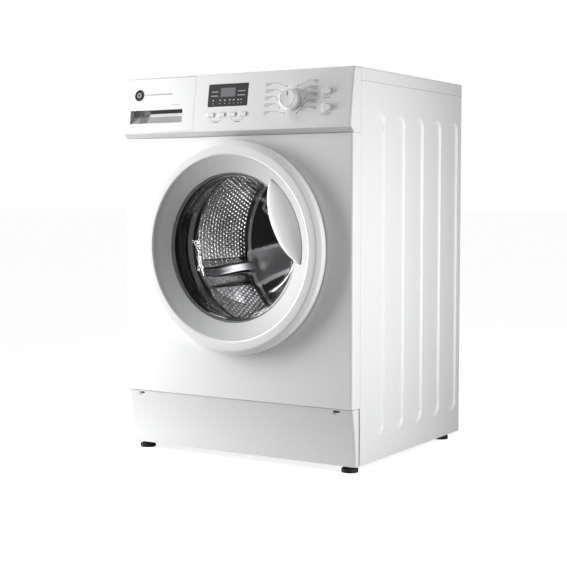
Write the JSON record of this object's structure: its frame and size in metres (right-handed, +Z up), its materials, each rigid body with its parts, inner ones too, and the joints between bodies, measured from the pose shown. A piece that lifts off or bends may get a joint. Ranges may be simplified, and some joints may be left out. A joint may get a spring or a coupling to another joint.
{
  "type": "front load washing machine",
  "caption": "Free-standing washing machine with a round glazed door in front, a detergent drawer, a turning programme dial and a spinning drum on springs.",
  "frame": {"origin": "on the floor, under the centre of the machine's overall box", "axes": "+X to the right seen from the front, +Y from the front to the rear, +Z up"},
  "size_m": [0.596, 0.58, 0.85],
  "materials": {
    "white_steel": "smooth white enamel",
    "galvanised_steel": "dull galvanised",
    "white_plastic": "smooth white moulding",
    "grey_plastic": "fine matt",
    "tub_plastic": "matt moulding",
    "black_plastic": "matt",
    "window_tint": "gloss smoked",
    "worktop_board": "white laminate",
    "gasket_rubber": "satin dark grey",
    "foot_rubber": "matt black",
    "drum_steel": "satin stainless",
    "cast_aluminium": "as cast",
    "bowl_glass": "clear",
    "concrete": "cast concrete",
    "spring_steel": "oiled",
    "motor_steel": "grey paint",
    "zinc_screws": "zinc plated",
    "belt_rubber": "ribbed",
    "blue_plastic": "matt"
  },
  "bodies": {
    "cabinet": {"base_frame": "galvanised_steel", "left_side_panel": "white_steel", "right_side_panel": "white_steel", "rear_panel": "galvanised_steel", "rear_access_cover": "galvanised_steel", "top_crossbars": "galvanised_steel", "front_panel": "white_steel", "control_fascia": "white_plastic", "display_window": "window_tint", "top_frame": "white_plastic", "top_board": "worktop_board", "dispenser_housing": "grey_plastic", "inlet_valve": "blue_plastic", "water_pipes": "grey_plastic", "drain_pump": "black_plastic", "door_lock": "black_plastic", "door_gasket": "gasket_rubber", "door_hinge_plate": "zinc_screws", "damper_cylinders": "black_plastic", "suspension_springs": "spring_steel", "panel_screws": "zinc_screws", "power_cord_gland": "black_plastic", "sump_hose": "belt_rubber", "fill_hose": "belt_rubber"},
    "kick_panel": {"kick_panel": "white_plastic"},
    "pump_filter": {"pump_filter": "grey_plastic"},
    "foot_front_left": {"foot_front_left": "foot_rubber"},
    "foot_front_right": {"foot_front_right": "foot_rubber"},
    "foot_rear_left": {"foot_rear_left": "foot_rubber"},
    "foot_rear_right": {"foot_rear_right": "foot_rubber"},
    "tub": {"tub_front_half": "tub_plastic", "tub_rear_half": "tub_plastic", "counterweights": "concrete", "motor": "motor_steel", "heater": "drum_steel", "drum_bearings": "spring_steel", "damper_rods": "spring_steel", "drive_belt": "belt_rubber"},
    "drum": {"drum_shell": "drum_steel", "drum_front_ring": "drum_steel", "drum_back": "drum_steel", "drum_lifters": "grey_plastic", "drum_spider": "cast_aluminium", "drum_pulley": "cast_aluminium"},
    "motor_rotor": {"motor_pulley": "spring_steel"},
    "door": {"door_outer_frame": "white_plastic", "door_inner_frame": "grey_plastic", "door_glass": "bowl_glass", "door_hinge_arm": "zinc_screws"},
    "door_handle": {"door_handle": "white_plastic"},
    "latch_hook": {"latch_hook": "zinc_screws"},
    "drawer": {"drawer_front": "white_plastic", "drawer_tray": "grey_plastic"},
    "program_knob": {"program_knob": "white_plastic"},
    "option_button_1": {"option_button_1": "white_plastic"},
    "option_button_2": {"option_button_2": "white_plastic"},
    "option_button_3": {"option_button_3": "white_plastic"},
    "option_button_4": {"option_button_4": "white_plastic"},
    "power_button": {"power_button": "white_plastic"},
    "start_button": {"start_button": "white_plastic"}
  },
  "joints": [
    {"name": "kick_panel_pull", "type": "slide", "parent": "cabinet", "child": "kick_panel", "axis": [0, -1, 0], "range_m": [0, 0.12]},
    {"name": "pump_filter_turn", "type": "hinge", "parent": "cabinet", "child": "pump_filter", "pos_m": [0.21, -0.225, 0.095], "axis": [0, -1, 0], "range_deg": [0, 170]},
    {"name": "foot_front_left_screw", "type": "slide", "parent": "cabinet", "child": "foot_front_left", "axis": [0, 0, -1], "range_m": [0, 0.012]},
    {"name": "foot_front_right_screw", "type": "slide", "parent": "cabinet", "child": "foot_front_right", "axis": [0, 0, -1], "range_m": [0, 0.012]},
    {"name": "foot_rear_left_screw", "type": "slide", "parent": "cabinet", "child": "foot_rear_left", "axis": [0, 0, -1], "range_m": [0, 0.012]},
    {"name": "foot_rear_right_screw", "type": "slide", "parent": "cabinet", "child": "foot_rear_right", "axis": [0, 0, -1], "range_m": [0, 0.012]},
    {"name": "tub_bounce", "type": "slide", "parent": "cabinet", "child": "tub", "axis": [0, 0, 1], "range_m": [-0.008, 0.008], "stiffness_N_per_m": 30000, "springref_m": 0.01087, "deforming": ["door_gasket", "suspension_springs", "sump_hose", "fill_hose"]},
    {"name": "drum_spin", "type": "hinge", "parent": "tub", "child": "drum", "pos_m": [0, -0.015, 0.471], "axis": [0, 1, 0], "continuous": true},
    {"name": "motor_spin", "type": "hinge", "parent": "tub", "child": "motor_rotor", "pos_m": [0, 0.135, 0.15], "axis": [0, 1, 0], "continuous": true},
    {"name": "door_swing", "type": "hinge", "parent": "cabinet", "child": "door", "pos_m": [-0.228, -0.275, 0.471], "axis": [0, 0, -1], "range_deg": [0, 120]},
    {"name": "handle_pull", "type": "hinge", "parent": "door", "child": "door_handle", "pos_m": [0.14403, -0.276, 0.52992], "axis": [-0.3786, 0, 0.9255], "range_deg": [0, 12], "stiffness_Nm_per_rad": 0.8, "springref_deg": -11.46},
    {"name": "hook_turn", "type": "hinge", "parent": "door", "child": "latch_hook", "pos_m": [0.186, -0.261, 0.471], "axis": [0, 0, 1], "range_deg": [0, 15]},
    {"name": "drawer_slide", "type": "slide", "parent": "cabinet", "child": "drawer", "axis": [0, -1, 0], "range_m": [0, 0.2]},
    {"name": "knob_turn", "type": "hinge", "parent": "cabinet", "child": "program_knob", "pos_m": [0.15, -0.26824, 0.78595], "axis": [0, -0.9898, 0.1425], "continuous": true},
    {"name": "option_press_1", "type": "slide", "parent": "cabinet", "child": "option_button_1", "axis": [0, 0.9898, -0.1425], "range_m": [0, 0.0015], "stiffness_N_per_m": 600, "springref_m": -0.0015},
    {"name": "option_press_2", "type": "slide", "parent": "cabinet", "child": "option_button_2", "axis": [0, 0.9898, -0.1425], "range_m": [0, 0.0015], "stiffness_N_per_m": 600, "springref_m": -0.0015},
    {"name": "option_press_3", "type": "slide", "parent": "cabinet", "child": "option_button_3", "axis": [0, 0.9898, -0.1425], "range_m": [0, 0.0015], "stiffness_N_per_m": 600, "springref_m": -0.0015},
    {"name": "option_press_4", "type": "slide", "parent": "cabinet", "child": "option_button_4", "axis": [0, 0.9898, -0.1425], "range_m": [0, 0.0015], "stiffness_N_per_m": 600, "springref_m": -0.0015},
    {"name": "power_press", "type": "slide", "parent": "cabinet", "child": "power_button", "axis": [0, 0.9898, -0.1425], "range_m": [0, 0.002], "stiffness_N_per_m": 600, "springref_m": -0.002},
    {"name": "start_press", "type": "slide", "parent": "cabinet", "child": "start_button", "axis": [0, 0.9898, -0.1425], "range_m": [0, 0.002], "stiffness_N_per_m": 600, "springref_m": -0.002}
  ],
  "couplings": [
    {"joint": "motor_spin", "follows": "drum_spin", "ratio": 11.667},
    {"joint": "hook_turn", "follows": "handle_pull", "ratio": 1.25}
  ]
}
